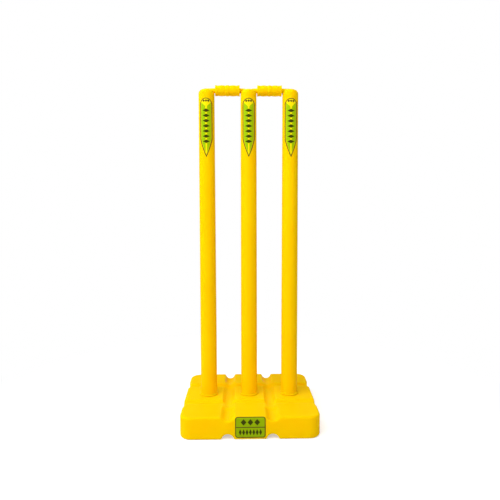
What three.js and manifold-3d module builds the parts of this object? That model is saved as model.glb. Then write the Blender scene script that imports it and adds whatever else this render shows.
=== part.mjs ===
// A free-standing cricket wicket of blow-moulded plastic: three hollow stumps pushed into
// the wells of a hollow base, and two bails lying in grooves across the stump tops.
// Millimetres. X runs along the row of stumps, the front faces -Y and Z is up. The origin
// is on the ground under the middle stump.

import * as THREE from 'three';
import { mergeVertices } from 'three/addons/utils/BufferGeometryUtils.js';
import Module from 'manifold-3d';

const wasm = await Module();
wasm.setup();

// Wicket
const stumpPitch = 96.2;
const stumpHeight = 713;
const fitClearance = 0.3;
const cutOverrun = 2;

// Base, outside
const baseWidth = 303;
const baseDepth = 262;
const baseHeight = 49;
const baseCornerRadius = 25;
const baseEdgeRadius = 5;

// Grooves from front to back: on the top a shallow run with three scoops in it, of which the
// front one is the flattest, and on the underside one run
const runWidth = 22;
const runDepth = 6;
const frontScoopWidth = 26.5;
const frontScoopDepth = 8.5;
const centreScoopWidth = 25.5;
const centreScoopDepth = 11.5;
const rearScoopWidth = 23.5;
const rearScoopDepth = 11.7;
const centreScoopEnd = 60;
const outerScoopStart = 77;
const underGrooveWidth = 27;
const underGrooveDepth = 12;

// Shallow valleys across the base
const valleyPlace = 50;
const valleyWidth = 22;
const valleyDepth = 5;

// Base, inside
const shellWall = 3;
const cavityEdgeRadius = 2;
const wellFloor = 5;

// Filler hole in a round dish of the back face, with its stopper
const dishRadius = 15;
const dishDepth = 5;
const fillerRadius = 10;
const plugFlangeRadius = 13.6;
const plugFlangeThickness = 2;
const plugLength = 9;
const plugTaper = 0.4;
const plugWall = 1.6;
const gripLength = 18;
const gripThickness = 4;

// Stumps
const stumpTopRadius = 18.2;
const stumpFootRadius = 19.2;
const stumpTopEdge = 9.5;
const stumpWall = 2.5;
const stumpCrownWall = 11.5;
const collarRadius = 21.8;
const collarHeight = 3;
const collarEdge = 1;
const pegRadius = 17.6;
const pegTaper = 0.5;
const pegChamfer = 2;
const breatherRadius = 6;

// Bails: a barrel of five beads between a long outer and a short inner spigot, sunk so far
// into the stump tops that their axis lies below these
const bailSink = 2;
const barrelLength = 56;
const endBeadLength = 6.6;
const middleBeadLength = 8;
const beadRadius = 12.2;
const bodyRadius = 12;
const bodyEndRadius = 11.4;
const seamRadius = 11.2;
const spigotRadius = 5.5;
const spigotTipRadius = 5;
const spigotChamfer = 1.2;
const outerSpigotLength = 24.5;
const innerSpigotLength = 13;

// Labels
const labelThickness = 0.3;
const stumpLabelHalfWidth = 13.8;
const stumpLabelTopDrop = 22;
const stumpLabelLength = 133;
const stumpLabelPointLength = 42;
const stumpLabelPointBulge = 3;
const baseLabelWidth = 65;
const baseLabelLow = 4.5;
const baseLabelHigh = 48.5;
const baseLabelCorner = 6;

// Numbers of steps that round a shape
const stumpSides = 36;
const bailSides = 24;
const wellSides = 32;
const grooveSides = 28;
const cornerSteps = 5;
const edgeSteps = 2;
const crownSteps = 5;
const bodySteps = 4;
const beadSteps = 2;
const labelSteps = 5;

// Sizes that follow from those above
const collarPlace = baseHeight + fitClearance;
const bailPlace = collarPlace + stumpHeight - bailSink;
const pegLength = baseHeight - wellFloor;
const wellRadius = pegRadius + fitClearance;
const labelStandOff = fitClearance + labelThickness;
const halfDepth = baseDepth / 2;

// Closed solid of a geometry, ready to join and cut.
function solidOf(geometry) {
  geometry.deleteAttribute('normal');
  geometry.deleteAttribute('uv');
  const merged = mergeVertices(geometry);
  return new wasm.Manifold(new wasm.Mesh({
    numProp: 3,
    vertProperties: merged.attributes.position.array,
    triVerts: merged.index.array,
  }));
}

// Geometry of a solid that has been joined or cut.
function geometryOf(solid) {
  const mesh = solid.getMesh();
  const geometry = new THREE.BufferGeometry();
  geometry.setAttribute('position', new THREE.BufferAttribute(mesh.vertProperties, 3));
  geometry.setIndex(new THREE.BufferAttribute(mesh.triVerts, 1));
  geometry.computeVertexNormals();
  return geometry;
}

function joined(solids) {
  return solids.reduce((whole, solid) => whole.add(solid));
}

function rodAlongX(radius, length, sides, x, y, z) {
  const geometry = new THREE.CylinderGeometry(radius, radius, length, sides);
  geometry.rotateZ(Math.PI / 2);
  geometry.translate(x, y, z);
  return solidOf(geometry);
}

function rodAlongY(radius, length, sides, x, y, z) {
  const geometry = new THREE.CylinderGeometry(radius, radius, length, sides);
  geometry.translate(x, y, z);
  return solidOf(geometry);
}

// Upright rod or cone that stands on the height z.
function rodAlongZ(topRadius, bottomRadius, height, sides, x, y, z) {
  const geometry = new THREE.CylinderGeometry(topRadius, bottomRadius, height, sides);
  geometry.rotateX(Math.PI / 2);
  geometry.translate(x, y, z + height / 2);
  return solidOf(geometry);
}

// Lathe geometry about Z from points of radius and height.
function turned(points, sides) {
  const outline = points.map(([radius, height]) => new THREE.Vector2(radius, height));
  const geometry = new THREE.LatheGeometry(outline, sides);
  geometry.rotateX(Math.PI / 2);
  return geometry;
}

function roundedRectangle(width, height, radius) {
  const x = width / 2 - radius;
  const y = height / 2 - radius;
  const shape = new THREE.Shape();
  shape.absarc(x, y, radius, 0, Math.PI / 2);
  shape.absarc(-x, y, radius, Math.PI / 2, Math.PI);
  shape.absarc(-x, -y, radius, Math.PI, 3 * Math.PI / 2);
  shape.absarc(x, -y, radius, 3 * Math.PI / 2, 2 * Math.PI);
  return shape;
}

// Radius of a round-bottomed groove from its width at the surface and its depth.
function grooveRadius(width, depth) {
  return (width * width / 4 + depth * depth) / (2 * depth);
}

// The base without its grooves, drawn in by inset on every side.
function slab(inset, edgeRadius) {
  const outline = roundedRectangle(
    baseWidth - 2 * inset,
    baseDepth - 2 * inset,
    baseCornerRadius - inset,
  );
  const geometry = new THREE.ExtrudeGeometry(outline, {
    depth: baseHeight - 2 * inset - 2 * edgeRadius,
    bevelThickness: edgeRadius,
    bevelSize: edgeRadius,
    bevelOffset: -edgeRadius,
    bevelSegments: edgeSteps,
    curveSegments: cornerSteps,
  });
  geometry.translate(0, 0, inset + edgeRadius);
  return solidOf(geometry);
}

// Everything that the grooves and valleys take from the base. With a wall, the same shapes
// grow by it, and are what the hollow of the base leaves standing.
function grooves(wall) {
  const cutters = [];
  const underRadius = grooveRadius(underGrooveWidth, underGrooveDepth);
  const valleyRadius = grooveRadius(valleyWidth, valleyDepth);
  const underZ = underGrooveDepth - underRadius;
  const valleyZ = baseHeight - valleyDepth + valleyRadius;
  const fullDepth = baseDepth + 2 * cutOverrun;
  const fullWidth = baseWidth + 2 * cutOverrun;

  const centre = centreScoopEnd + wall;
  const outer = outerScoopStart - wall;
  const outside = fullDepth / 2;
  const topGrooves = [
    { width: runWidth, depth: runDepth, from: -outside, to: outside },
    { width: frontScoopWidth, depth: frontScoopDepth, from: -outside, to: -outer },
    { width: centreScoopWidth, depth: centreScoopDepth, from: -centre, to: centre },
    { width: rearScoopWidth, depth: rearScoopDepth, from: outer, to: outside },
  ];

  for (const side of [-1, 1]) {
    const x = side * stumpPitch / 2;
    cutters.push(rodAlongY(underRadius + wall, fullDepth, grooveSides, x, 0, underZ));
    for (const { width, depth, from, to } of topGrooves) {
      const radius = grooveRadius(width, depth);
      const y = (from + to) / 2;
      const z = baseHeight - depth + radius;
      cutters.push(rodAlongY(radius + wall, to - from, grooveSides, x, y, z));
    }
  }
  for (const end of [-1, 1]) {
    const y = end * valleyPlace;
    cutters.push(rodAlongX(valleyRadius + wall, fullWidth, grooveSides, 0, y, valleyZ));
  }
  return joined(cutters);
}

// Rods at the three stump places, as wells or as the columns round them.
function wells(wall, bottom, top) {
  const lowRadius = wellRadius - pegTaper + wall;
  const places = [-stumpPitch, 0, stumpPitch];
  return joined(places.map((x) => (
    rodAlongZ(wellRadius + wall, lowRadius, top - bottom, wellSides, x, 0, bottom)
  )));
}

function baseSolid() {
  const middle = baseHeight / 2;
  const dishStart = halfDepth - dishDepth;
  const dishLength = dishDepth + cutOverrun;
  const dishY = dishStart + dishLength / 2;
  const bossLength = dishLength + shellWall;
  const bossY = dishStart - shellWall + bossLength / 2;
  const holeLength = shellWall + 2 * cutOverrun;
  const holeY = dishStart - shellWall / 2;

  const columns = wells(shellWall, 0, baseHeight);
  const dishBoss = rodAlongY(dishRadius + shellWall, bossLength, wellSides, 0, bossY, middle);
  const hollow = slab(shellWall, cavityEdgeRadius)
    .subtract(grooves(shellWall))
    .subtract(columns)
    .subtract(dishBoss);

  return slab(0, baseEdgeRadius)
    .subtract(grooves(0))
    .subtract(hollow)
    .subtract(wells(0, wellFloor, baseHeight + cutOverrun))
    .subtract(rodAlongY(dishRadius, dishLength, wellSides, 0, dishY, middle))
    .subtract(rodAlongY(fillerRadius, holeLength, wellSides, 0, holeY, middle));
}

// Stopper, turned about Z with its flange's seat at 0 and its grip upwards.
function plugSolid() {
  const rootRadius = fillerRadius - fitClearance;
  const endRadius = rootRadius - plugTaper;
  const stopper = turned([
    [0, 0],
    [rootRadius - plugWall, 0],
    [endRadius - plugWall, -plugLength],
    [endRadius, -plugLength],
    [rootRadius, 0],
    [plugFlangeRadius, 0],
    [plugFlangeRadius, plugFlangeThickness],
    [0, plugFlangeThickness],
  ], wellSides);

  // The grip stands as far out at the back as the label does at the front.
  const grip = new THREE.ExtrudeGeometry(
    roundedRectangle(gripLength, gripThickness, gripThickness / 2),
    { depth: dishDepth - fitClearance + labelStandOff, bevelEnabled: false, curveSegments: cornerSteps },
  );
  return solidOf(stopper).add(solidOf(grip));
}

// Radius of a stump's tapered shank at a height above the underside of its collar.
function shankRadius(height) {
  const share = (height - collarHeight) / (stumpHeight - collarHeight);
  return stumpFootRadius + (stumpTopRadius - stumpFootRadius) * share;
}

// Stump, with the underside of its collar at 0 and the bail groove along X.
function stumpSolid() {
  const pegEndRadius = pegRadius - pegTaper;
  const pegInside = wellFloor - baseHeight + stumpWall;
  const crown = [];
  for (let step = 0; step <= crownSteps; step += 1) {
    const angle = step / crownSteps * Math.PI / 2;
    crown.push([
      stumpTopRadius - stumpTopEdge * (1 - Math.cos(angle)),
      stumpHeight - stumpTopEdge * (1 - Math.sin(angle)),
    ]);
  }
  const body = turned([
    [0, stumpHeight - stumpCrownWall],
    [stumpTopRadius - stumpTopEdge, stumpHeight - stumpCrownWall],
    [stumpTopRadius - stumpWall, stumpHeight - stumpTopEdge - stumpCrownWall],
    [stumpFootRadius - stumpWall, collarHeight],
    [pegRadius - stumpWall, 0],
    [pegEndRadius - stumpWall, pegInside],
    [breatherRadius, pegInside],
    [breatherRadius, -pegLength],
    [pegEndRadius - pegChamfer, -pegLength],
    [pegEndRadius, -pegLength + pegChamfer],
    [pegRadius, 0],
    [collarRadius - collarEdge, 0],
    [collarRadius, collarEdge],
    [collarRadius, collarHeight - collarEdge],
    [collarRadius - collarEdge, collarHeight],
    [stumpFootRadius, collarHeight],
    ...crown,
    [0, stumpHeight],
  ], stumpSides);
  const grooveLength = 2 * (stumpTopRadius + cutOverrun);
  const mouthRadius = spigotRadius + fitClearance;
  const grooveZ = stumpHeight - bailSink;
  const mouthHeight = bailSink + cutOverrun;
  const mouth = new THREE.BoxGeometry(grooveLength, 2 * mouthRadius, mouthHeight);
  mouth.translate(0, 0, grooveZ + mouthHeight / 2);
  return solidOf(body)
    .subtract(rodAlongX(mouthRadius, grooveLength, bailSides, 0, 0, grooveZ))
    .subtract(solidOf(mouth));
}

// Points of one bead of a bail, a shallow arch from one end radius to the other's.
function bead(points, start, length, endRadius, topRadius, steps) {
  for (let step = 0; step <= steps; step += 1) {
    const across = 2 * step / steps - 1;
    const arch = 1 - across * across;
    points.push([endRadius + (topRadius - endRadius) * arch, start + length * step / steps]);
  }
  return start + length;
}

// Bail, turned about Z, with the middle of its barrel at 0 and its long spigot upwards.
function bailGeometry() {
  const bodyLength = (barrelLength - middleBeadLength - 2 * endBeadLength) / 2;
  const low = -barrelLength / 2 - innerSpigotLength;
  const high = barrelLength / 2 + outerSpigotLength;
  const points = [
    [0, low],
    [spigotTipRadius - spigotChamfer, low],
    [spigotTipRadius, low + spigotChamfer],
    [spigotRadius, -barrelLength / 2],
  ];
  let place = -barrelLength / 2;
  place = bead(points, place, endBeadLength, seamRadius, beadRadius, beadSteps);
  place = bead(points, place, bodyLength, bodyEndRadius, bodyRadius, bodySteps);
  place = bead(points, place, middleBeadLength, seamRadius, beadRadius, beadSteps);
  place = bead(points, place, bodyLength, bodyEndRadius, bodyRadius, bodySteps);
  bead(points, place, endBeadLength, seamRadius, beadRadius, beadSteps);
  points.push(
    [spigotRadius, barrelLength / 2],
    [spigotTipRadius, high - spigotChamfer],
    [spigotTipRadius - spigotChamfer, high],
    [0, high],
  );
  return turned(points, bailSides);
}

// Label of a stump: the part of a thin sleeve round the shank inside a bullet-shaped outline.
function stumpLabelSolid() {
  const top = stumpHeight - stumpLabelTopDrop;
  const tip = top - stumpLabelLength;
  const high = top + cutOverrun;
  const low = tip - cutOverrun;
  const sleeve = turned([
    [shankRadius(low) + fitClearance, low],
    [shankRadius(low) + labelStandOff, low],
    [shankRadius(high) + labelStandOff, high],
    [shankRadius(high) + fitClearance, high],
    [shankRadius(low) + fitClearance, low],
  ], stumpSides);

  const shoulder = top - stumpLabelHalfWidth;
  const waist = tip + stumpLabelPointLength;
  const bulgeX = stumpLabelHalfWidth / 2 + stumpLabelPointBulge;
  const bulgeY = (tip + waist) / 2;
  const outline = new THREE.Shape();
  outline.moveTo(0, tip);
  outline.quadraticCurveTo(bulgeX, bulgeY, stumpLabelHalfWidth, waist);
  outline.absarc(0, shoulder, stumpLabelHalfWidth, 0, Math.PI);
  outline.lineTo(-stumpLabelHalfWidth, waist);
  outline.quadraticCurveTo(-bulgeX, bulgeY, 0, tip);
  const prism = new THREE.ExtrudeGeometry(outline, {
    depth: stumpFootRadius + labelStandOff + cutOverrun,
    bevelEnabled: false,
    curveSegments: labelSteps,
  });
  prism.rotateX(Math.PI / 2);
  return solidOf(sleeve).intersect(solidOf(prism));
}

// Label of the base: the part of a thin sheet over its front and upper front edge inside a
// rounded rectangle.
function baseLabelSolid() {
  const sheet = slab(-labelStandOff, baseEdgeRadius + labelStandOff)
    .subtract(slab(-fitClearance, baseEdgeRadius + fitClearance));
  const prism = new THREE.ExtrudeGeometry(
    roundedRectangle(baseLabelWidth, baseLabelHigh - baseLabelLow, baseLabelCorner),
    { depth: baseEdgeRadius + labelStandOff + cutOverrun, bevelEnabled: false, curveSegments: cornerSteps },
  );
  prism.rotateX(Math.PI / 2);
  prism.translate(0, baseEdgeRadius - halfDepth, (baseLabelHigh + baseLabelLow) / 2);
  return sheet.intersect(solidOf(prism));
}

const yellowPlastic = new THREE.MeshStandardMaterial({
  color: 0xffd400,
  roughness: 0.38,
  metalness: 0,
});
const stopperPlastic = new THREE.MeshStandardMaterial({
  color: 0x26262a,
  roughness: 0.55,
  metalness: 0,
});
const greenPrint = new THREE.MeshStandardMaterial({
  color: 0x8fb014,
  roughness: 0.35,
  metalness: 0,
});

function named(name, geometry, material) {
  const mesh = new THREE.Mesh(geometry, material.clone());
  mesh.name = name;
  return mesh;
}

// A stump with its label, standing in the well at x.
function stump(side, x) {
  const group = new THREE.Group();
  group.add(named(`stump_${side}`, geometryOf(stumpSolid()), yellowPlastic));
  group.add(named(`stump_label_${side}`, geometryOf(stumpLabelSolid()), greenPrint));
  group.position.set(x, 0, collarPlace);
  return group;
}

// A bail between two stumps, with its long spigot on the outer one.
function bail(side, outwards) {
  const mesh = named(`bail_${side}`, bailGeometry(), yellowPlastic);
  mesh.rotation.y = outwards * Math.PI / 2;
  mesh.position.set(outwards * stumpPitch / 2, 0, bailPlace);
  return mesh;
}

function base() {
  const group = new THREE.Group();
  group.add(named('base_shell', geometryOf(baseSolid()), yellowPlastic));

  const plug = named('filler_plug', geometryOf(plugSolid()), stopperPlastic);
  plug.rotation.x = -Math.PI / 2;
  plug.position.set(0, halfDepth - dishDepth + fitClearance, baseHeight / 2);
  group.add(plug);

  group.add(named('base_label', geometryOf(baseLabelSolid()), greenPrint));
  return group;
}

const wicket = new THREE.Group();
wicket.add(base());
wicket.add(stump('left', -stumpPitch));
wicket.add(stump('middle', 0));
wicket.add(stump('right', stumpPitch));
wicket.add(bail('left', -1));
wicket.add(bail('right', 1));

export default wicket;
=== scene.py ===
import math

import bpy
import numpy as np
from mathutils import Matrix, Vector


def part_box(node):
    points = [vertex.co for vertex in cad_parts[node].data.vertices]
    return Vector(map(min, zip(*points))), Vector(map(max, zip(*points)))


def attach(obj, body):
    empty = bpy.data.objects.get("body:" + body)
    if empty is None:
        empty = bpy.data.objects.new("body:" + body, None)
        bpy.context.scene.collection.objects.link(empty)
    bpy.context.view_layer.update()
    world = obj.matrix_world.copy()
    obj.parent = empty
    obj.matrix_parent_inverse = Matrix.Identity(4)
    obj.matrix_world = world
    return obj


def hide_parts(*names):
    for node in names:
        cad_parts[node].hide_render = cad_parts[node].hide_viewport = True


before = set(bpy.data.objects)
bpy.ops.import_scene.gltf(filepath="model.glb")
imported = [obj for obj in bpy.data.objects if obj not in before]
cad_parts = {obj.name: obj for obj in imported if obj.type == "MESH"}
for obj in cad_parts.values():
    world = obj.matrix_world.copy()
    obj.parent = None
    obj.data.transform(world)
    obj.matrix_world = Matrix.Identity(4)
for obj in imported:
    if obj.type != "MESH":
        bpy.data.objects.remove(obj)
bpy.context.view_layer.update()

# Sizes are in metres, and places in the part's own frame: X along the row of
# stumps, Y from front to back, Z up.

# Camera, as fitted to the photograph. Its frame is square, and its focal length
# is a share of the frame's width.
CAMERA_PLACE = Vector((-0.0194, -1.0257, 0.4688))
CAMERA_PITCH = math.radians(4.154)
CAMERA_YAW = math.radians(1.238)
CAMERA_ROLL = math.radians(-0.122)
FOCAL_SHARE = 0.8735

# Base
_, BASE_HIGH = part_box("base_shell")
BASE_HALF_WIDTH = BASE_HIGH.x
BASE_HALF_DEPTH = BASE_HIGH.y
BASE_HEIGHT = BASE_HIGH.z
PLAN_CORNER = 0.025
TOP_EDGE = 0.0042
SIDE_TOP_EDGE = 0.0052
BOTTOM_EDGE = 0.0045
SHELL_WALL = 0.003

# Its grooves from front to back, half way between two stumps. A pair is the
# groove's width at the surface and its depth.
STUMP_SPACING = 0.0962
GROOVE_PLACE = STUMP_SPACING / 2
RUN = (0.0200, 0.0045)
FRONT_SCOOP = (0.0260, 0.0085)
CENTRE_SCOOP = (0.0248, 0.0110)
REAR_SCOOP = (0.0232, 0.0117)
CENTRE_SCOOP_END = 0.061
CENTRE_SCOOP_ROUNDING = 0.010
OUTER_SCOOP_START = 0.0775
OUTER_SCOOP_ROUNDING = 0.005
SCOOP_LIP = 0.0040
REAR_SCOOP_LIP = 0.0030
UNDER_GROOVE = (0.027, 0.012)
UNDER_GROOVE_LIP = 0.0018

# Its valleys from side to side, and the dents beside them. The dents and the
# sides' rounder top edge start and are full at places in from the sides.
VALLEY_PLACE = 0.0500
VALLEY_WIDTH = 0.022
VALLEY_DEPTH = 0.005
VALLEY_CORNER = 0.007
VALLEY_LIP = 0.002
SIDE_DENT_PLACE = 0.0625
SIDE_DENT_WIDTH = 0.0300
SIDE_DENT_DEPTH = 0.0022
SIDE_CHANGE_START = 0.040
SIDE_CHANGE_END = 0.012

# Its wells, and the filler hole in its dish with the hollow behind it
WELL_RADIUS = 0.0179
WELL_FLOOR = 0.005
WELL_LIP = 0.0008
DISH_RADIUS = 0.015
DISH_DEPTH = 0.005
DISH_LIP = 0.0015
FILLER_RADIUS = 0.010
HOLLOW_MIDDLE = Vector((0, 0.074, 0.024))
HOLLOW_HALF = Vector((0.028, 0.050, 0.015))
HOLLOW_CORNER = 0.004

# Stumps
STUMP_SIDES = ("left", "middle", "right")
STUMP_LOW, STUMP_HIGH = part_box("stump_middle")
STUMP_TOP = STUMP_HIGH.z
STUMP_TOP_RADIUS = 0.0182
STUMP_TOP_EDGE = 0.0095
FOOT_RADIUS = 0.0192
PEG_LENGTH = 0.044
PEG_RADIUS = 0.0176
PEG_TAPER = 0.0005
PEG_EDGE = 0.002
COLLAR_HEIGHT = 0.003
COLLAR_LOW = STUMP_LOW.z + PEG_LENGTH
COLLAR_TOP = COLLAR_LOW + COLLAR_HEIGHT
COLLAR_RADIUS = STUMP_HIGH.x
COLLAR_EDGE = 0.001
COLLAR_FILLET = 0.0007
BREATHER_RADIUS = 0.006
BREATHER_DEPTH = 0.030
BAIL_GROOVE_RADIUS = 0.0058
BAIL_GROOVE_LIP = 0.0009
BAIL_SINK = 0.002

# Bails, each half way between two stumps
BAIL_PLACE = STUMP_SPACING / 2
BARREL_LENGTH = 0.056
BARREL_FILLET = 0.0006
END_FLARE = 0.0070
END_LIP = 0.0009
MIDDLE_BEAD = 0.0093
BEAD_RADIUS = 0.0122
BODY_RADIUS = 0.0120
SEAM_RADIUS = 0.01125
SPIGOT_RADIUS = 0.0055
SPIGOT_TIP_RADIUS = 0.0050
SPIGOT_EDGE = 0.0012

# Stopper
STOPPER_LOW, STOPPER_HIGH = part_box("filler_plug")
STOPPER_SHANK = 0.009
STOPPER_PLAY = 0.0003
STOPPER_FLANGE = 0.002
STOPPER_FLANGE_RADIUS = 0.0136
STOPPER_EDGE = 0.0006
GRIP_HALF_LENGTH = 0.009
GRIP_HALF_THICKNESS = 0.002

# Labels
FILM_THICKNESS = 0.00035
FILM_SINK = 0.00008
FILM_ROUNDING = 0.0006
STUMP_LABEL_HALF_WIDTH = 0.0138
STUMP_LABEL_POINT = 0.042
STUMP_LABEL_BULGE = 0.003
STUMP_LABEL_TIP_HALF_WIDTH = 0.00001
BASE_LABEL_CORNER = 0.006
BASE_LABEL_LENGTH = 0.0460

# Print of the stump labels. Heights are above the label's tip, and borders and
# outlines are distances from its rim. A pair is where a colour or the widening
# starts and is full, or an outline's two edges.
# The lime side is not print. It is a painted highlight: lighter green on the label's left side,
# where light falls from the left.
PAINTED_HIGHLIGHT_SIDE = (0.0010, -0.0070)
STRIPE_HALF_WIDTH = 0.0016
STRIPE_WIDENING = (0.112, 0.124)
STRIPE_OPENING = 0.0085
STRIPE_BLUR = 0.0003
DOME_START = (0.1235, 0.1240)
MOSS_BORDER = (0.0033, 0.0029)
YELLOW_BORDER = (0.0029, 0.0026)
STUMP_OUTLINE = (0.0002, 0.0021)
OUTLINE_BLUR = 0.0002
STRIPE_LOZENGES = {
    "middle": 0.07025, "count": 7, "pitch": 0.0115, "half_length": 0.0040, "half_width": 0.0080,
}
CREST_HEIGHT = 0.1262
CREST_LOZENGES = {
    "middle": 0.0, "count": 3, "pitch": 0.0052, "half_length": 0.0028, "half_width": 0.0030,
}

# Print of the base label, from its middle
BASE_OUTLINE = (0.0003, 0.0022)
DIVIDER_HALF_WIDTH = 0.0010
DIVIDER_BLUR = 0.0003
UPPER_ROW_HEIGHT = 0.0110
UPPER_LOZENGES = {
    "middle": 0.0, "count": 3, "pitch": 0.0145, "half_length": 0.0062, "half_width": 0.0070,
}
LOWER_ROW_HEIGHT = -0.0108
LOWER_LOZENGES = {
    "middle": 0.0, "count": 7, "pitch": 0.0072, "half_length": 0.0031, "half_width": 0.0068,
}
LOZENGE_BLUR = 0.08

# Meshes: cell sizes, how points settle on a surface, and numbers of parts
BASE_STEP = 0.0018
STUMP_STEP = 0.0009
COLLAR_STEP = 0.0005
STOPPER_STEP = 0.00045
SETTLE_ROUNDS = 6
SLOPE_STEP = 0.00002
LEAST_SLOPE = 0.3
LEAST_LENGTH = 1e-12

EDGE_PARTS = 5
BODY_PARTS = 24
BEAD_PARTS = 16
BAIL_SIDES = 72
STUMP_LABEL_ROWS = 120
STUMP_LABEL_COLUMNS = 49
STUMP_LABEL_RIM_POINTS = 1400
BASE_LABEL_ROWS = 73
BASE_LABEL_COLUMNS = 89

# Bands of cells up a stump
TIP_BAND = 0.004  # up from the foot
PEG_BAND = (0.0045, 0.001)  # up from the foot, down from the collar's low face
PEG_ROWS = 14
COLLAR_BAND = (0.0005, 0.0065)  # down and up from the collar's low face
SHANK_BAND = (0.008, 0.026)  # up from the collar's low face, down from the top
SHANK_ROWS = 58
TOP_BAND = 0.025  # down from the top

# Colours
YELLOW = (1.0, 0.600, 0.001)
YELLOW_WARM = (1.0, 0.575, 0.001)
GLOSS_TINT = (1.0, 0.80, 0.06, 1.0)
STOPPER_GREY = (0.020, 0.020, 0.023)
STOPPER_PALE_GREY = (0.030, 0.030, 0.0345)
LABEL_GREEN = (0.34, 0.50, 0.002)
# Lime painted on the stump labels' left side as a painted highlight
LABEL_PAINTED_HIGHLIGHT_LIME = (0.31, 0.50, 0.004)
LABEL_MOSS = (0.27, 0.40, 0.003)
LABEL_YELLOW = (0.90, 0.72, 0.004)
LABEL_BROWN = (0.100, 0.060, 0.012)
LABEL_DARK = (0.045, 0.050, 0.004)

# Surfaces. A noise's scale is in waves per metre, and its detail in octaves. A
# spread is the part of a noise's range over which a surface changes. The shares
# of the seam, the waves and the grain are heights in grain depths.
SPREAD = (0.3, 0.7)
WIDE_SPREAD = (0.25, 0.75)
GRAIN_DEPTH = 0.001

PLASTIC_CLOUDS = {"scale": 14.0, "detail": 3.0}
PLASTIC_GRAIN = {"scale": 1400.0, "detail": 2.0, "roughness": 0.6}
PLASTIC_WAVES = {"scale": 60.0, "detail": 2.0}
PLASTIC_RUBBING = {"scale": 60.0, "detail": 4.0}
PLASTIC_ROUGHNESS = (0.34, 0.44)
PLASTIC_GLOSS = 0.01
GRAIN_SHARE = 0.006
WAVE_SHARE = 0.02
SEAM_SHARE = 0.12
SEAM_HALF_WIDTH = 0.0006
SKIN_WEIGHT = 0.35
SKIN_DEPTH = (0.030, 0.012, 0.002)

STOPPER_CLOUDS = {"scale": 120.0, "detail": 4.0}
STOPPER_GRAIN = {"scale": 1800.0, "detail": 3.0}
STOPPER_GRAIN_SHARE = 0.05
STOPPER_ROUGHNESS = (0.5, 0.65)

FILM_RUBBING = {"scale": 300.0, "detail": 3.0}
FILM_GRAIN = {"scale": 700.0, "detail": 2.0}
FILM_GRAIN_SHARE = 0.03
FILM_ROUGHNESS = (0.36, 0.48)
FILM_GLOSS = 0.05
BASE_PRINT_CLOUDS = {"scale": 60.0, "detail": 2.0}
BASE_PRINT_CLOUDINESS = 0.25

# Studio. A lamp has a place, a size and a level of brightness.
AMBIENT = 0.37
LAMPS = {
    "key": ((-1.4, -0.9, 1.7), (2.2, 2.2), 2.5),
    "front": ((-0.1, -1.2, 1.9), (1.2, 1.0), 4.4),
    "rear": ((0.0, 1.6, 2.2), (2.4, 2.0), 0.8),
}
LAMP_TARGET = Vector((0, 0, 0.45))
FLOOR_WHITE = 0.75
FLOOR_LIFT = 0.45
FLOOR_ROUGHNESS = 0.9
FLOOR_FADE = (0.25, 0.75)
FLOOR_HALF_WIDTH = 5.0
FLOOR_FRONT = -3.0
SWEEP_START = 3.0
SWEEP_RADIUS = 1.5
SWEEP_PARTS = 12
SWEEP_HEIGHT = 4.0


# Distances: negative inside a body, positive outside it

def round_max(a, b, radius):
    """What both bodies share, with a round edge where their faces meet."""
    corner = np.hypot(np.maximum(a + radius, 0), np.maximum(b + radius, 0))
    return np.minimum(-radius, np.maximum(a, b)) + corner


def round_min(a, b, radius):
    """Both bodies joined, with a round fillet where their faces meet."""
    return -round_max(-a, -b, radius)


def cut(body, cutter, radius):
    """The body without the cutter, with a round lip."""
    return round_max(body, -cutter, radius)


def round_rectangle(x, y, half_width, half_height, corner):
    """Rectangle about the origin with round corners."""
    past_x = np.abs(x) - (half_width - corner)
    past_y = np.abs(y) - (half_height - corner)
    outside = np.hypot(np.maximum(past_x, 0), np.maximum(past_y, 0)) - corner
    return outside + np.minimum(np.maximum(past_x, past_y), 0)


def round_box(x, y, z, half, corner):
    """Box about the origin with rounded edges and corners."""
    past = [np.abs(v) - (h - corner) for v, h in zip((x, y, z), half)]
    outside = np.sqrt(sum(np.maximum(v, 0) ** 2 for v in past))
    inside = np.minimum(np.maximum(np.maximum(past[0], past[1]), past[2]), 0)
    return outside + inside - corner


def groove(x, z, size):
    """Round-bottomed groove along Y in a surface at height 0, of a width and depth."""
    width, depth = size
    radius = (width ** 2 / 4 + depth ** 2) / (2 * depth)
    return np.hypot(x, z + depth - radius) - radius


def smooth_step(low, high, value):
    """Smooth change from 0 to 1 as the value goes from low to high."""
    share = np.clip((value - low) / (high - low), 0, 1)
    return share * share * (3 - 2 * share)


# Shape of the base

def base_slab(x, y, z):
    """The base with its valleys and side dents, before anything else is cut."""
    rise = VALLEY_CORNER - VALLEY_DEPTH
    flat = VALLEY_WIDTH / 2 - math.sqrt(VALLEY_CORNER ** 2 - rise ** 2)
    aside = np.maximum(np.abs(np.abs(y) - VALLEY_PLACE) - flat, 0)
    valley = np.hypot(aside, np.minimum(z - BASE_HEIGHT - rise, 0)) - VALLEY_CORNER
    top = cut(z - BASE_HEIGHT, valley, VALLEY_LIP)

    inner = BASE_HALF_WIDTH - SIDE_CHANGE_START
    side = smooth_step(inner, BASE_HALF_WIDTH - SIDE_CHANGE_END, np.abs(x))
    edge = TOP_EDGE + (SIDE_TOP_EDGE - TOP_EDGE) * side
    dent = smooth_step(SIDE_DENT_WIDTH / 2, 0, np.abs(np.abs(y) - SIDE_DENT_PLACE))
    plan = round_rectangle(x, y, BASE_HALF_WIDTH, BASE_HALF_DEPTH, PLAN_CORNER)
    slab = round_max(plan + SIDE_DENT_DEPTH * dent * side, top, edge)
    return round_max(slab, -z, BOTTOM_EDGE)


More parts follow.
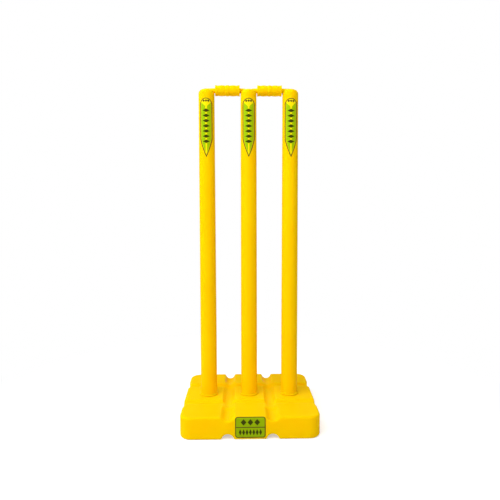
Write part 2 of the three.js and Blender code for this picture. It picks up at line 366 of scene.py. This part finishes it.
def cut_grooves(body, x, y, z):
    """Shallow runs with scoops in them on the top, and grooves in the underside."""
    aside = np.abs(x) - GROOVE_PLACE
    up = z - BASE_HEIGHT
    scoops = (
        (CENTRE_SCOOP, np.abs(y) - CENTRE_SCOOP_END, CENTRE_SCOOP_ROUNDING, SCOOP_LIP),
        (FRONT_SCOOP, OUTER_SCOOP_START + y, OUTER_SCOOP_ROUNDING, SCOOP_LIP),
        (REAR_SCOOP, OUTER_SCOOP_START - y, OUTER_SCOOP_ROUNDING, REAR_SCOOP_LIP),
    )
    body = cut(body, groove(aside, up, RUN), SCOOP_LIP)
    for size, past_end, rounding, lip in scoops:
        body = cut(body, round_max(groove(aside, up, size), past_end, rounding), lip)
    return cut(body, groove(aside, -z, UNDER_GROOVE), UNDER_GROOVE_LIP)


def cut_openings(body, x, y, z):
    """Wells for the stumps, and the filler hole in its dish with the hollow behind it."""
    nearest = np.minimum(np.abs(x), np.abs(np.abs(x) - STUMP_SPACING))
    well = np.maximum(np.hypot(nearest, y) - WELL_RADIUS, WELL_FLOOR - z)
    body = cut(body, well, WELL_LIP)

    across = np.hypot(x, z - BASE_HEIGHT / 2)
    floor = BASE_HALF_DEPTH - DISH_DEPTH
    dish = np.maximum(across - DISH_RADIUS, floor - y)
    body = cut(body, dish, DISH_LIP)
    start = floor - SHELL_WALL - HOLLOW_CORNER
    hole = np.maximum(across - FILLER_RADIUS, start - y)
    from_middle = [v - m for v, m in zip((x, y, z), HOLLOW_MIDDLE)]
    hollow = round_box(*from_middle, HOLLOW_HALF, HOLLOW_CORNER)
    return cut(body, np.minimum(hole, hollow), WELL_LIP)


def base_shape(x, y, z):
    """The whole base."""
    return cut_openings(cut_grooves(base_slab(x, y, z), x, y, z), x, y, z)


# Shapes of a stump and of the stopper

def shank_radius(z):
    """Radius of a stump's shank at a height."""
    share = (z - COLLAR_TOP) / (STUMP_TOP - COLLAR_TOP)
    return FOOT_RADIUS + (STUMP_TOP_RADIUS - FOOT_RADIUS) * share


def stump_shape(x, y, z):
    """Stump about its own axis, at its height above the ground."""
    around = np.hypot(x, y)
    shank = round_max(around - shank_radius(z), z - STUMP_TOP, STUMP_TOP_EDGE)
    bail_groove = np.hypot(y, np.minimum(z - STUMP_TOP + BAIL_SINK, 0)) - BAIL_GROOVE_RADIUS
    shank = cut(shank, bail_groove, BAIL_GROOVE_LIP)
    shank = np.maximum(shank, COLLAR_TOP - COLLAR_HEIGHT / 2 - z)

    height = np.abs(z - COLLAR_LOW - COLLAR_HEIGHT / 2) - COLLAR_HEIGHT / 2
    collar = round_max(around - COLLAR_RADIUS, height, COLLAR_EDGE)

    share = (COLLAR_LOW - z) / PEG_LENGTH
    peg = around - PEG_RADIUS + PEG_TAPER * share
    peg = round_max(peg, COLLAR_LOW - PEG_LENGTH - z, PEG_EDGE)
    peg = np.maximum(peg, z - COLLAR_TOP)
    bore = np.maximum(around - BREATHER_RADIUS, z - COLLAR_LOW + PEG_LENGTH - BREATHER_DEPTH)
    whole = np.minimum(round_min(shank, collar, COLLAR_FILLET), peg)
    return cut(whole, bore, COLLAR_FILLET)


def stopper_shape(x, y, z):
    """Stopper with its flange in the dish of the back face and its grip outwards."""
    across = np.hypot(x, z - BASE_HEIGHT / 2)
    seat = STOPPER_LOW.y + STOPPER_SHANK
    flange = np.abs(y - seat - STOPPER_FLANGE / 2) - STOPPER_FLANGE / 2
    flange = round_max(across - STOPPER_FLANGE_RADIUS, flange, STOPPER_EDGE)
    shank = across - FILLER_RADIUS + STOPPER_PLAY
    shank = round_max(shank, STOPPER_LOW.y - y, STOPPER_EDGE)
    shank = np.maximum(shank, y - seat - STOPPER_FLANGE / 2)
    length = np.maximum(np.abs(x) - GRIP_HALF_LENGTH + GRIP_HALF_THICKNESS, 0)
    grip = np.hypot(length, z - BASE_HEIGHT / 2) - GRIP_HALF_THICKNESS
    grip = round_max(grip, y - STOPPER_HIGH.y, STOPPER_EDGE)
    grip = np.maximum(grip, seat - y)
    return round_min(np.minimum(flange, shank), grip, 2 * STOPPER_EDGE)


# Meshes

def slope(shape, points):
    """Outward direction of a shape's distance at each point, and how steep it is."""
    rise = np.empty_like(points)
    for axis in range(3):
        step = np.zeros(3)
        step[axis] = SLOPE_STEP
        rise[:, axis] = shape(*(points + step).T) - shape(*(points - step).T)
    size = np.linalg.norm(rise, axis=1, keepdims=True)
    return rise / np.maximum(size, LEAST_LENGTH), size[:, 0] / (2 * SLOPE_STEP)


def settle(shape, points, limit):
    """Moves points onto the shape's surface."""
    for _ in range(SETTLE_ROUNDS):
        outward, steepness = slope(shape, points)
        distance = shape(*points.T) / np.maximum(steepness, LEAST_SLOPE)
        points = points - outward * np.clip(distance, -limit, limit)[:, None]
    return points


def net(shape, xs, ys, zs):
    """Closed net of four-sided faces round a shape.

    It has one point in each cell that the surface crosses, at the mean of the
    crossings on the cell's edges, and one face for each crossed edge.
    """
    axes = (xs, ys, zs)
    distance = shape(*np.meshgrid(*axes, indexing="ij"))
    cells = np.array(distance.shape) - 1
    total = np.zeros((cells.prod(), 3))
    count = np.zeros(cells.prod())
    faces = []
    for a in range(3):
        low = np.take(distance, range(cells[a]), axis=a)
        high = np.take(distance, range(1, cells[a] + 1), axis=a)
        crossed = np.argwhere((low < 0) != (high < 0))
        d0, d1 = low[tuple(crossed.T)], high[tuple(crossed.T)]
        points = np.stack([axes[i][crossed[:, i]] for i in range(3)], axis=1)
        points[:, a] += d0 / (d0 - d1) * np.diff(axes[a])[crossed[:, a]]
        ring = []
        for back_b, back_c in ((1, 1), (0, 1), (0, 0), (1, 0)):
            cell = crossed.copy()
            cell[:, (a + 1) % 3] -= back_b
            cell[:, (a + 2) % 3] -= back_c
            ring.append(np.ravel_multi_index(tuple(cell.T), cells))
            np.add.at(total, ring[-1], points)
            np.add.at(count, ring[-1], 1)
        ring = np.stack(ring, axis=1)
        faces.append(np.where((d0 < 0)[:, None], ring, ring[:, ::-1]))
    faces = np.concatenate(faces)
    used, faces = np.unique(faces, return_inverse=True)
    return total[used] / count[used, None], faces.reshape(-1, 4)


def mesh_object(name, points, faces, normals=None):
    """Smooth piece from an array of points and a list or array of faces."""
    mesh = bpy.data.meshes.new(name)
    mesh.from_pydata(points.tolist(), [], faces if isinstance(faces, list) else faces.tolist())
    mesh.shade_smooth()
    if normals is not None:
        mesh.normals_split_custom_set_from_vertices(normals.tolist())
    piece = bpy.data.objects.new(name, mesh)
    bpy.context.scene.collection.objects.link(piece)
    return piece


def shaped(name, shape, xs, ys, zs, place=(0, 0, 0)):
    """Piece with the surface of a shape, moved to its place."""
    points, faces = net(shape, xs, ys, zs)
    points = settle(shape, points, 2 * np.diff(xs).max())
    normals, _ = slope(shape, points)
    return mesh_object(name, points + np.array(place), faces, normals)


def steps(low, high, step):
    """Evenly spaced places that reach past both ends."""
    count = math.ceil((high - low) / step) + 2
    middle = (low + high) / 2
    return middle + (np.arange(count + 1) - count / 2) * step


def quarter_turn(parts):
    """Angles from 0 to a right angle, in equal parts."""
    return [part / parts * math.pi / 2 for part in range(parts + 1)]


def lathe_along_x(name, profile, middle):
    """Closed turned piece from (place along X, radius) pairs, radius 0 at both ends."""
    sides = BAIL_SIDES
    angles = np.linspace(0, 2 * math.pi, sides, endpoint=False)
    inner = profile[1:-1]
    points = [(x, r * math.cos(t), r * math.sin(t)) for x, r in inner for t in angles]
    points += [(profile[0][0], 0, 0), (profile[-1][0], 0, 0)]
    first, last = len(points) - 2, len(points) - 1
    top = (len(inner) - 1) * sides
    faces = []
    for k in range(sides):
        n = (k + 1) % sides
        for r in range(0, top, sides):
            faces.append((r + k, r + n, r + sides + n, r + sides + k))
        faces.append((first, n, k))
        faces.append((last, top + k, top + n))
    return mesh_object(name, np.array(points) + np.array(middle), faces)


# Base, stopper, stumps and bails

def make_base():
    piece = shaped(
        "base",
        base_shape,
        steps(-BASE_HALF_WIDTH, BASE_HALF_WIDTH, BASE_STEP),
        steps(-BASE_HALF_DEPTH, BASE_HALF_DEPTH, BASE_STEP),
        steps(0, BASE_HEIGHT, BASE_STEP),
    )
    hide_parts("base_shell")
    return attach(piece, "base")


def make_stopper():
    reach = steps(-STOPPER_FLANGE_RADIUS, STOPPER_FLANGE_RADIUS, STOPPER_STEP)
    piece = shaped(
        "stopper_moulding",
        stopper_shape,
        reach,
        steps(STOPPER_LOW.y, STOPPER_HIGH.y, STOPPER_STEP),
        reach + BASE_HEIGHT / 2,
    )
    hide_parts("filler_plug")
    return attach(piece, "stopper")


def stump_heights(foot):
    """Heights of the cells up a stump: close at its foot, collar and top, and wide between."""
    return np.concatenate([
        np.arange(foot - STUMP_STEP, foot + TIP_BAND, STUMP_STEP),
        np.linspace(foot + PEG_BAND[0], COLLAR_LOW - PEG_BAND[1], PEG_ROWS),
        np.arange(COLLAR_LOW - COLLAR_BAND[0], COLLAR_LOW + COLLAR_BAND[1], COLLAR_STEP),
        np.linspace(COLLAR_LOW + SHANK_BAND[0], STUMP_TOP - SHANK_BAND[1], SHANK_ROWS),
        np.arange(STUMP_TOP - TOP_BAND, STUMP_TOP + 2 * STUMP_STEP, STUMP_STEP),
    ])


def make_stump(side):
    low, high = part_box(f"stump_{side}")
    reach = steps(-COLLAR_RADIUS, COLLAR_RADIUS, STUMP_STEP)
    middle = ((low.x + high.x) / 2, 0, 0)
    heights = stump_heights(low.z)
    piece = shaped(f"{side}_stump_shell", stump_shape, reach, reach, heights, middle)
    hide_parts(f"stump_{side}")
    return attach(piece, f"{side}_stump")


def crowned(start, length, top, parts):
    """Points of one crowned length of a barrel, from seam to seam."""
    points = []
    for part in range(parts + 1):
        across = -math.cos(math.pi * part / parts)
        place = start + length * (across + 1) / 2
        points.append((place, top - (top - SEAM_RADIUS) * across ** 2))
    return points


def barrel_half():
    """Outline of a bail's barrel to its middle: flared end, crowned body and half a bead."""
    low = -BARREL_LENGTH / 2
    points = [(low - BARREL_FILLET, SPIGOT_RADIUS), (low, SPIGOT_RADIUS + BARREL_FILLET)]
    for angle in quarter_turn(EDGE_PARTS):
        along, down = END_LIP * (1 - math.cos(angle)), END_LIP * (1 - math.sin(angle))
        points.append((low + along, BEAD_RADIUS - down))
    body = BARREL_LENGTH / 2 - END_FLARE - MIDDLE_BEAD / 2
    points += crowned(low + END_FLARE, body, BODY_RADIUS, BODY_PARTS)
    bead = crowned(-MIDDLE_BEAD / 2, MIDDLE_BEAD, BEAD_RADIUS, BEAD_PARTS)
    return points + bead[1:BEAD_PARTS // 2 + 1]


def spigot_tip(end, inwards):
    """Rounded edge of a spigot's tip, from its end face to its side."""
    points = []
    for angle in quarter_turn(EDGE_PARTS):
        along, down = SPIGOT_EDGE * (1 - math.cos(angle)), SPIGOT_EDGE * (1 - math.sin(angle))
        points.append((end + inwards * along, SPIGOT_TIP_RADIUS - down))
    return points


def bail_profile(inner, outer):
    """Outline of a bail from its short spigot's end to its long spigot's."""
    half = barrel_half()
    points = [(inner, 0)] + spigot_tip(inner, 1) + half
    points += [(-x, r) for x, r in reversed(half[:-1])]
    return points + spigot_tip(outer, -1)[::-1] + [(outer, 0)]


def make_bail(side, outwards):
    """Bail whose long spigot points outwards, 1 towards +X and -1 towards -X."""
    low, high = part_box(f"bail_{side}")
    ends = sorted((abs(low.x) - BAIL_PLACE, abs(high.x) - BAIL_PLACE))
    profile = bail_profile(ends[0], ends[1])
    if outwards < 0:
        profile = [(-x, r) for x, r in reversed(profile)]
    middle = (outwards * BAIL_PLACE, 0, STUMP_TOP - BAIL_SINK)
    piece = lathe_along_x(f"{side}_bail_turning", profile, middle)
    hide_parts(f"bail_{side}")
    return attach(piece, f"{side}_bail")


# Labels

def film(name, front, back):
    """Closed thin piece between two grids of points."""
    rows, columns = front.shape[:2]
    behind = rows * columns
    index = np.arange(behind).reshape(rows, columns)
    corners = (index[:-1, :-1], index[:-1, 1:], index[1:, 1:], index[1:, :-1])
    face = np.stack(corners, axis=-1).reshape(-1, 4)
    border = np.concatenate([index[0, :-1], index[:-1, -1], index[-1, :0:-1], index[:0:-1, 0]])
    after = np.roll(border, -1)
    edge = np.stack([after, border, border + behind, after + behind], axis=1)
    points = np.concatenate([front.reshape(-1, 3), back.reshape(-1, 3)])
    return mesh_object(name, points, np.concatenate([face, face[:, ::-1] + behind, edge]))


def note_places(piece, across, along, rim):
    """Stores what a film's print needs: places across and along it, and rim distances."""
    uv = piece.data.uv_layers.new(name="print")
    loops = np.array([loop.vertex_index for loop in piece.data.loops]) % across.size
    places = np.stack([across.ravel()[loops], along.ravel()[loops]], axis=1)
    uv.data.foreach_set("uv", places.ravel())
    layer = piece.data.attributes.new("rim", "FLOAT", "POINT")
    layer.data.foreach_set("value", np.tile(rim.ravel(), 2).astype(np.float32))


def film_height(rim):
    """Height of a film's face above the plastic, which falls away at the rim."""
    share = np.clip(rim / FILM_ROUNDING, 0, 1)
    return FILM_THICKNESS * np.sqrt(1 - (1 - share) ** 2)


def crowding(count):
    """Places from -1 to 1 that lie closer together towards both ends."""
    return np.sin(np.linspace(-math.pi / 2, math.pi / 2, count))


def label_grid(half_widths, places, columns):
    """Places across and along a label, from its half width at places along it."""
    across = half_widths[:, None] * crowding(columns)[None, :]
    return across, np.repeat(places[:, None], columns, axis=1)


def bullet_half_width(height, length):
    """Half the width of a stump label at a height above its tip."""
    share = np.clip(height / STUMP_LABEL_POINT, 0, 1)
    bulge = STUMP_LABEL_HALF_WIDTH + 2 * STUMP_LABEL_BULGE
    point = bulge * share * (1 - share) + STUMP_LABEL_HALF_WIDTH * share * share
    above = np.clip(height - (length - STUMP_LABEL_HALF_WIDTH), 0, STUMP_LABEL_HALF_WIDTH)
    dome = np.sqrt(np.maximum(STUMP_LABEL_HALF_WIDTH ** 2 - above ** 2, 0))
    return np.minimum(point, dome)


def bullet_rim(across, along, length):
    """How far inside a stump label's outline each of its points lies."""
    heights = length * (1 + crowding(STUMP_LABEL_RIM_POINTS)) / 2
    edge = bullet_half_width(heights, length)
    distance = np.full(across.shape, np.inf)
    for x, y in [*zip(edge, heights), *zip(-edge, heights)]:
        distance = np.minimum(distance, np.hypot(across - x, along - y))
    return distance


def make_stump_label(side):
    """Label bent round the front of a stump."""
    low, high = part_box(f"stump_label_{side}")
    middle = (low.x + high.x) / 2
    length = high.z - low.z
    heights = length * (1 + crowding(STUMP_LABEL_ROWS)) / 2
    half = np.maximum(bullet_half_width(heights, length), STUMP_LABEL_TIP_HALF_WIDTH)
    across, along = label_grid(half, heights, STUMP_LABEL_COLUMNS)
    rim = bullet_rim(across, along, length)

    z = low.z + along
    radius = shank_radius(z)
    turn = np.arcsin(np.clip(across / radius, -1, 1))
    outward = np.stack([np.sin(turn), -np.cos(turn), np.zeros_like(turn)], axis=-1)
    axis = np.stack([np.full_like(z, middle), np.zeros_like(z), z], axis=-1)
    front = axis + outward * (radius + film_height(rim))[..., None]
    back = axis + outward * (radius - FILM_SINK)[..., None]
    piece = film(f"{side}_stump_print", front, back)
    note_places(piece, across, along, rim)
    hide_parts(f"stump_label_{side}")
    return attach(piece, f"{side}_stump")


def make_base_label():
    """Label on the front of the base, bent over its upper edge."""
    low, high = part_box("base_label")
    middle = (low.x + high.x) / 2
    half_width = (high.x - low.x) / 2
    half_height = BASE_LABEL_LENGTH / 2
    heights = crowding(BASE_LABEL_ROWS) * half_height
    past = np.abs(heights) - half_height + BASE_LABEL_CORNER
    past = np.clip(past, 0, BASE_LABEL_CORNER)
    half = half_width - BASE_LABEL_CORNER + np.sqrt(BASE_LABEL_CORNER ** 2 - past ** 2)
    across, along = label_grid(half, heights, BASE_LABEL_COLUMNS)
    outline = round_rectangle(across, along, half_width, half_height, BASE_LABEL_CORNER)
    rim = np.maximum(-outline, 0)

    up = low.z + half_height + along
    bend = np.clip((up - BASE_HEIGHT) / TOP_EDGE + 1, 0, math.pi / 2)
    outward = np.stack([np.zeros_like(bend), -np.cos(bend), np.sin(bend)], axis=-1)
    centre = np.stack([
        middle + across,
        np.full_like(bend, TOP_EDGE - BASE_HALF_DEPTH),
        np.minimum(up, BASE_HEIGHT - TOP_EDGE),
    ], axis=-1)
    front = centre + outward * (TOP_EDGE + film_height(rim))[..., None]
    back = centre + outward * (TOP_EDGE - FILM_SINK)
    piece = film("base_print", front, back)
    note_places(piece, across, along, rim)
    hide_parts("base_label")
    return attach(piece, "base")


# Materials

class Nodes:
    """Node tree of a new material, with short calls that add and join its nodes."""

    def __init__(self, name):
        self.material = bpy.data.materials.new(name)
        self.material.use_nodes = True
        self.tree = self.material.node_tree
        self.tree.nodes.clear()
        self.shader = self.add("ShaderNodeBsdfPrincipled")
        surface = {"Surface": self.shader.outputs[0]}
        self.output = self.add("ShaderNodeOutputMaterial", surface)

    def join(self, source, socket):
        self.tree.links.new(source, socket)

    def drive(self, name, source):
        """Joins an output to one of the shader's sockets."""
        self.join(source, self.shader.inputs[name])

    def add(self, kind, inputs=None, **settings):
        """Node with its settings, and its inputs joined or set."""
        node = self.tree.nodes.new(kind)
        for key, value in settings.items():
            setattr(node, key, value)
        for key, value in (inputs or {}).items():
            if isinstance(value, bpy.types.NodeSocket):
                self.join(value, node.inputs[key])
            else:
                node.inputs[key].default_value = value
        return node

    def place(self):
        """Places on the object, in its own frame."""
        return self.add("ShaderNodeTexCoord").outputs["Object"]

    def maths(self, operation, a, b=0.0, c=0.0):
        return self.add("ShaderNodeMath", {0: a, 1: b, 2: c}, operation=operation).outputs[0]

    def ramp(self, value, low, high, start=0.0, end=1.0):
        """Smooth change from start to end as the value goes from low to high."""
        node = self.add(
            "ShaderNodeMapRange",
            {"Value": value, "From Min": low, "From Max": high, "To Min": start, "To Max": end},
            interpolation_type="SMOOTHSTEP",
        )
        return node.outputs["Result"]

    def noise(self, place, scale, detail, roughness=0.5):
        inputs = {"Vector": place, "Scale": scale, "Detail": detail, "Roughness": roughness}
        return self.add("ShaderNodeTexNoise", inputs).outputs["Fac"]

    def mix(self, factor, a, b):
        """Colour between a and b, each a constant or an output."""
        node = self.add("ShaderNodeMix", data_type="RGBA")
        for key, value in (("Factor", factor), ("A", a), ("B", b)):
            socket = [s for s in node.inputs if s.name == key and s.enabled][0]
            if isinstance(value, bpy.types.NodeSocket):
                self.join(value, socket)
            else:
                socket.default_value = (*value, 1.0)
        return [s for s in node.outputs if s.enabled][0]

    def bump(self, height, distance, strength=1.0):
        inputs = {"Height": height, "Distance": distance, "Strength": strength}
        self.drive("Normal", self.add("ShaderNodeBump", inputs).outputs[0])

    def finish(self, **values):
        """Sets constant values on the shader's own sockets."""
        for key, value in values.items():
            self.shader.inputs[key.replace("_", " ")].default_value = value
        return self.material


def plastic(name, seam_axis, seam_place):
    """Satin yellow polyethylene with a faint parting line where seam_axis is at seam_place."""
    n = Nodes(name)
    place = n.place()
    cloud = n.ramp(n.noise(place, **PLASTIC_CLOUDS), *SPREAD)
    n.drive("Base Color", n.mix(cloud, YELLOW, YELLOW_WARM))
    grain = n.noise(place, **PLASTIC_GRAIN)
    waves = n.noise(place, **PLASTIC_WAVES)
    rubbing = n.noise(place, **PLASTIC_RUBBING)
    n.drive("Roughness", n.ramp(rubbing, *WIDE_SPREAD, *PLASTIC_ROUGHNESS))
    axis = n.add("ShaderNodeSeparateXYZ", {0: place}).outputs[seam_axis]
    off_seam = n.maths("ABSOLUTE", n.maths("SUBTRACT", axis, seam_place))
    seam = n.ramp(off_seam, 0.0, SEAM_HALF_WIDTH, SEAM_SHARE, 0.0)
    relief = n.maths("MULTIPLY_ADD", grain, GRAIN_SHARE, seam)
    relief = n.maths("MULTIPLY_ADD", waves, WAVE_SHARE, relief)
    n.bump(relief, GRAIN_DEPTH)
    return n.finish(
        Specular_IOR_Level=PLASTIC_GLOSS,
        Specular_Tint=GLOSS_TINT,
        Subsurface_Weight=SKIN_WEIGHT,
        Subsurface_Radius=SKIN_DEPTH,
        Subsurface_Scale=1.0,
    )


def soft_grey():
    """Matt grey plastic of the stopper."""
    n = Nodes("stopper_soft_plastic")
    place = n.place()
    cloud = n.noise(place, **STOPPER_CLOUDS)
    n.drive("Base Color", n.mix(cloud, STOPPER_GREY, STOPPER_PALE_GREY))
    n.drive("Roughness", n.ramp(cloud, *SPREAD, *STOPPER_ROUGHNESS))
    n.bump(n.noise(place, **STOPPER_GRAIN), GRAIN_DEPTH, STOPPER_GRAIN_SHARE)
    return n.material


def print_places(n):
    """Places across and along a label, and the distance from its rim."""
    uv = n.add("ShaderNodeUVMap", uv_map="print")
    split = n.add("ShaderNodeSeparateXYZ", {0: uv.outputs[0]})
    rim = n.add("ShaderNodeAttribute", attribute_name="rim").outputs["Fac"]
    return split.outputs["X"], split.outputs["Y"], rim


def film_finish(n, colour):
    """Printed film in a colour, with a weak gloss."""
    place = n.place()
    n.drive("Base Color", colour)
    rubbing = n.noise(place, **FILM_RUBBING)
    n.drive("Roughness", n.ramp(rubbing, *SPREAD, *FILM_ROUGHNESS))
    n.bump(n.noise(place, **FILM_GRAIN), GRAIN_DEPTH, FILM_GRAIN_SHARE)
    return n.finish(Specular_IOR_Level=FILM_GLOSS, Specular_Tint=GLOSS_TINT)


def band(n, place, low, high, blur):
    """1 where a place lies between two others, with blurred ends."""
    rise = n.ramp(place, low - blur, low + blur)
    fall = n.ramp(place, high - blur, high + blur, 1.0, 0.0)
    return n.maths("MULTIPLY", rise, fall)


def lozenge_row(n, lengthways, sideways, middle, count, pitch, half_length, half_width):
    """1 in a row of lozenges along one direction, about a middle on it."""
    first = middle - count * pitch / 2
    last = middle + count * pitch / 2
    number = n.maths("DIVIDE", n.maths("SUBTRACT", lengthways, first), pitch)
    off = n.maths("ABSOLUTE", n.maths("SUBTRACT", n.maths("FRACT", number), 0.5))
    away = n.maths("DIVIDE", n.maths("MULTIPLY", off, pitch), half_length)
    aside = n.maths("DIVIDE", n.maths("ABSOLUTE", sideways), half_width)
    away = n.maths("ADD", away, aside)
    inside = n.ramp(away, 1 - LOZENGE_BLUR, 1 + LOZENGE_BLUR, 1.0, 0.0)
    after_first = n.maths("GREATER_THAN", lengthways, first)
    before_last = n.maths("LESS_THAN", lengthways, last)
    return n.maths("MULTIPLY", inside, n.maths("MULTIPLY", after_first, before_last))


def stump_print():
    """Green film with a yellow stripe that opens into a yellow dome.

    It has a dark outline, dark lozenges down the stripe and brown ones in the dome. Its left
    side is painted a lighter lime as a painted highlight.
    """
    n = Nodes("stump_label_film")
    across, along, rim = print_places(n)
    aside = n.maths("ABSOLUTE", across)
    # Painted highlight: the label's left side is painted a lighter lime
    colour = n.mix(n.ramp(across, *PAINTED_HIGHLIGHT_SIDE), LABEL_GREEN, LABEL_PAINTED_HIGHLIGHT_LIME)
    widening = n.ramp(along, *STRIPE_WIDENING, 0.0, STRIPE_OPENING)
    half_stripe = n.maths("ADD", widening, STRIPE_HALF_WIDTH)
    off_stripe = n.maths("SUBTRACT", aside, half_stripe)
    stripe = n.ramp(off_stripe, STRIPE_BLUR, -STRIPE_BLUR)
    colour = n.mix(stripe, colour, LABEL_YELLOW)
    colour = n.mix(n.ramp(along, *DOME_START), colour, LABEL_YELLOW)
    colour = n.mix(n.ramp(rim, *MOSS_BORDER), colour, LABEL_MOSS)
    colour = n.mix(n.ramp(rim, *YELLOW_BORDER), colour, LABEL_YELLOW)
    row = lozenge_row(n, along, across, **STRIPE_LOZENGES)
    colour = n.mix(row, colour, LABEL_DARK)
    above_crest = n.maths("SUBTRACT", along, CREST_HEIGHT)
    crest = lozenge_row(n, across, above_crest, **CREST_LOZENGES)
    colour = n.mix(crest, colour, LABEL_BROWN)
    outline = band(n, rim, *STUMP_OUTLINE, OUTLINE_BLUR)
    return film_finish(n, n.mix(outline, colour, LABEL_BROWN))


def base_print():
    """Green film with a dark outline, a dark divider and a row of lozenges in each half."""
    n = Nodes("base_label_film")
    across, along, rim = print_places(n)
    cloud = n.noise(n.place(), **BASE_PRINT_CLOUDS)
    cloud = n.ramp(cloud, *SPREAD, 0.0, BASE_PRINT_CLOUDINESS)
    colour = n.mix(cloud, LABEL_MOSS, LABEL_GREEN)
    divider = band(n, along, -DIVIDER_HALF_WIDTH, DIVIDER_HALF_WIDTH, DIVIDER_BLUR)
    colour = n.mix(divider, colour, LABEL_BROWN)
    rows = ((UPPER_ROW_HEIGHT, UPPER_LOZENGES), (LOWER_ROW_HEIGHT, LOWER_LOZENGES))
    for height, lozenges in rows:
        above_row = n.maths("SUBTRACT", along, height)
        row = lozenge_row(n, across, above_row, **lozenges)
        colour = n.mix(row, colour, LABEL_DARK)
    outline = band(n, rim, *BASE_OUTLINE, OUTLINE_BLUR)
    return film_finish(n, n.mix(outline, colour, LABEL_BROWN))


def dress(piece, material):
    """Gives a piece its material, in a new slot."""
    piece.data.materials.append(material)


# Studio

def shown_ray(tree):
    """1 for rays that show a surface to the camera, directly or in a gloss or through glass."""
    path = tree.nodes.new("ShaderNodeLightPath")
    total = path.outputs["Is Camera Ray"]
    for name in ("Is Glossy Ray", "Is Transmission Ray"):
        either = tree.nodes.new("ShaderNodeMath")
        either.operation = "MAXIMUM"
        tree.links.new(total, either.inputs[0])
        tree.links.new(path.outputs[name], either.inputs[1])
        total = either.outputs[0]
    return total


def make_world():
    """Plain white to look at, and a weaker white as light on the object."""
    world = bpy.data.worlds.new("studio")
    world.use_nodes = True
    tree = world.node_tree
    tree.nodes.clear()
    strength = tree.nodes.new("ShaderNodeMapRange")
    strength.inputs["To Min"].default_value = AMBIENT
    strength.inputs["To Max"].default_value = 1.0
    tree.links.new(shown_ray(tree), strength.inputs["Value"])
    background = tree.nodes.new("ShaderNodeBackground")
    background.inputs["Color"].default_value = (1, 1, 1, 1)
    tree.links.new(strength.outputs[0], background.inputs["Strength"])
    output = tree.nodes.new("ShaderNodeOutputWorld")
    tree.links.new(background.outputs[0], output.inputs["Surface"])
    bpy.context.scene.world = world


def floor_material():
    """White floor that shows the object's shadow, and turns plain white away from it."""
    n = Nodes("studio_floor")
    white = (FLOOR_WHITE, FLOOR_WHITE, FLOOR_WHITE, 1)
    n.finish(Base_Color=white, Roughness=FLOOR_ROUGHNESS, Specular_IOR_Level=0.0)
    length = n.add("ShaderNodeVectorMath", {0: n.place()}, operation="LENGTH")
    away = n.ramp(length.outputs["Value"], *FLOOR_FADE)
    diffuse = n.shader.outputs[0]
    glow = n.add("ShaderNodeEmission", {"Strength": 1.0}).outputs[0]
    lift = n.add("ShaderNodeEmission", {"Strength": FLOOR_LIFT}).outputs[0]
    near = n.add("ShaderNodeAddShader", {0: diffuse, 1: lift}).outputs[0]
    seen = n.add("ShaderNodeMixShader", {0: away, 1: near, 2: glow}).outputs[0]
    shown = shown_ray(n.tree)
    both = n.add("ShaderNodeMixShader", {0: shown, 1: diffuse, 2: seen}).outputs[0]
    n.join(both, n.output.inputs["Surface"])
    return n.material


def make_floor():
    """Floor that sweeps up into a backdrop behind the object."""
    profile = [(FLOOR_FRONT, 0.0)]
    for angle in quarter_turn(SWEEP_PARTS):
        back, up = SWEEP_RADIUS * math.sin(angle), SWEEP_RADIUS * (1 - math.cos(angle))
        profile.append((SWEEP_START + back, up))
    profile.append((SWEEP_START + SWEEP_RADIUS, SWEEP_HEIGHT))
    sides = (-FLOOR_HALF_WIDTH, FLOOR_HALF_WIDTH)
    points = np.array([(x, y, z) for y, z in profile for x in sides])
    faces = [(2 * k, 2 * k + 1, 2 * k + 3, 2 * k + 2) for k in range(len(profile) - 1)]
    floor = mesh_object("floor", points, faces)
    floor.data.materials.append(floor_material())


def make_lamp(name, place, size, level):
    """Softbox of a size and brightness at a place, facing the stumps."""
    lamp = bpy.data.lights.new(name, "AREA")
    lamp.shape = "RECTANGLE"
    lamp.size, lamp.size_y = size
    lamp.energy = math.pi * level * size[0] * size[1]
    holder = bpy.data.objects.new(name, lamp)
    holder.location = place
    holder.rotation_euler = (LAMP_TARGET - Vector(place)).to_track_quat("-Z", "Y").to_euler()
    bpy.context.scene.collection.objects.link(holder)


def make_camera():
    camera = bpy.data.cameras.new("camera")
    camera.sensor_fit = "HORIZONTAL"
    camera.lens = FOCAL_SHARE * camera.sensor_width
    holder = bpy.data.objects.new("camera", camera)
    turn = Matrix.Rotation(-CAMERA_YAW, 4, "Z")
    tilt = Matrix.Rotation(math.pi / 2 - CAMERA_PITCH, 4, "X")
    roll = Matrix.Rotation(CAMERA_ROLL, 4, "Z")
    holder.matrix_world = Matrix.Translation(CAMERA_PLACE) @ turn @ tilt @ roll
    bpy.context.scene.collection.objects.link(holder)
    bpy.context.scene.camera = holder


stump_plastic = plastic("yellow_stump_plastic", "Y", 0.0)
base_plastic = plastic("yellow_base_plastic", "Z", BASE_HEIGHT / 2)
stump_film = stump_print()

dress(make_base(), base_plastic)
dress(make_stopper(), soft_grey())
dress(make_base_label(), base_print())
for side in STUMP_SIDES:
    dress(make_stump(side), stump_plastic)
    dress(make_stump_label(side), stump_film)
dress(make_bail("left", -1), stump_plastic)
dress(make_bail("right", 1), stump_plastic)

make_world()
make_floor()
for name, (place, size, level) in LAMPS.items():
    make_lamp(name, place, size, level)
make_camera()
bpy.context.scene.view_settings.view_transform = "Standard"
